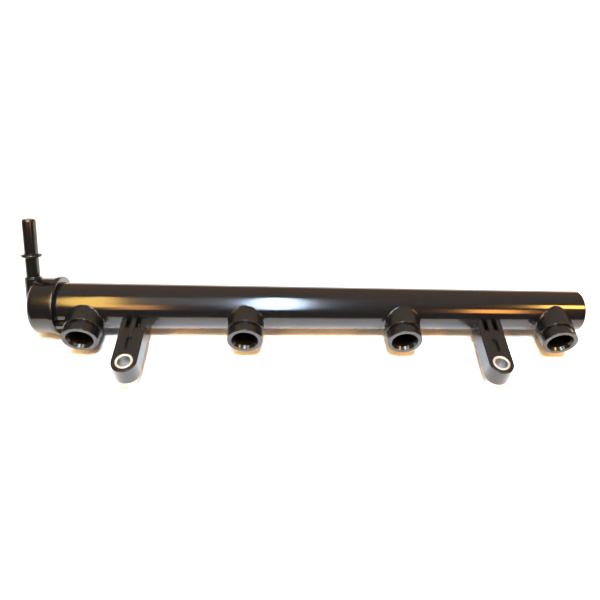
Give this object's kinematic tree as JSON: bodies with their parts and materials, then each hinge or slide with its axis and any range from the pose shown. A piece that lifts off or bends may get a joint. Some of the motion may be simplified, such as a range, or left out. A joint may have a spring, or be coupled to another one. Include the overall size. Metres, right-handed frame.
{
  "type": "fuel rail",
  "caption": "Moulded plastic fuel rail: a tapered tube with injector cups, bolt legs with metal sleeves, and an end cap with a leaning quick-connect spigot.",
  "frame": {"origin": "midway between the two bolt holes, on the plane of the legs' undersides that seats on the engine", "axes": "+X along the tube from the inlet end cap to the closed end; +Z along the bolts, towards their heads; the injector cups open towards -Y"},
  "size_m": [0.3471, 0.0829, 0.0644],
  "materials": {
    "black_nylon": "glossy moulded black nylon",
    "zinc_plated_steel": "bright zinc plate"
  },
  "bodies": {
    "root": {"rail_body": "black_nylon", "inlet_end_cap": "black_nylon", "bolt_sleeve_left": "zinc_plated_steel", "bolt_sleeve_right": "zinc_plated_steel"}
  },
  "joints": []
}
